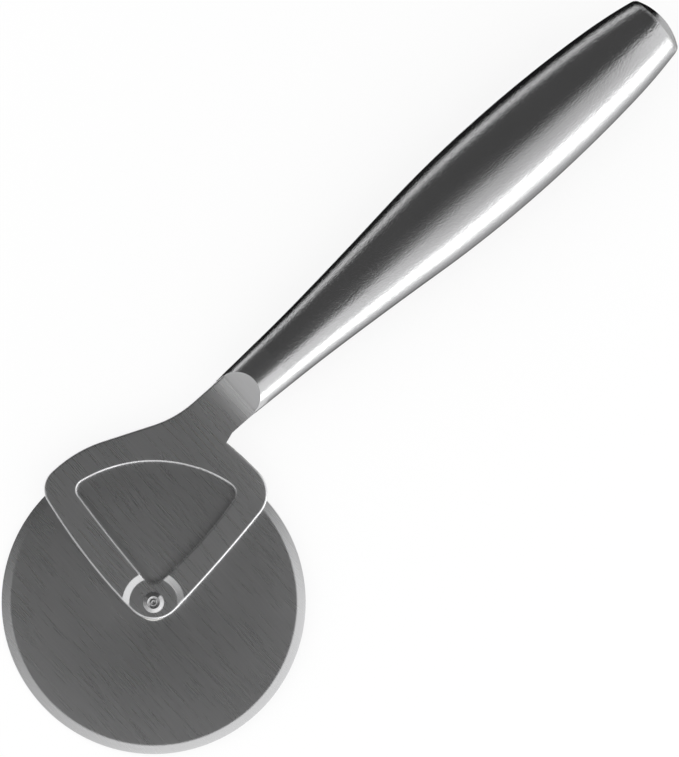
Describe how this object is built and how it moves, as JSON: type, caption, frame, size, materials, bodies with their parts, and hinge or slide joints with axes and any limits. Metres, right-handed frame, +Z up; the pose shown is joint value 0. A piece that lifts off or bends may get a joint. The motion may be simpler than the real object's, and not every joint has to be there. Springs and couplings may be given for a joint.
{
  "type": "pizza cutter wheel",
  "caption": "Hand-held pizza cutter: sharpened steel disc turning on a windowed carrier plate, offset round hollow steel handle.",
  "frame": {"origin": "bottom centre of the bounding box, with the cutter lying on a flat surface on its wheel rim and its handle's belly", "axes": "+X along the handle to its end, +Z up out of the plate's front as it lies, +Y from the wheel's centre across to the handle's side"},
  "size_m": [0.2112, 0.073, 0.0233],
  "materials": {
    "blade_steel": "satin, ground",
    "plate_steel": "satin",
    "rivet_steel": "polished",
    "handle_steel": "fine satin",
    "washer_plastic": "natural nylon"
  },
  "bodies": {
    "handle": {"carrier_plate": "plate_steel", "pivot_rivet": "rivet_steel", "front_washer": "washer_plastic", "back_washer": "washer_plastic", "neck_bolster": "handle_steel", "handle_front_shell": "handle_steel", "handle_back_shell": "handle_steel", "handle_end_cap": "handle_steel"},
    "wheel": {"cutting_wheel": "blade_steel"}
  },
  "joints": [
    {"name": "wheel_spin", "type": "hinge", "parent": "handle", "child": "wheel", "pos_m": [-0.07069, -0.00148, 0.00226], "axis": [-0.0535, 0, 0.9986], "continuous": true}
  ]
}
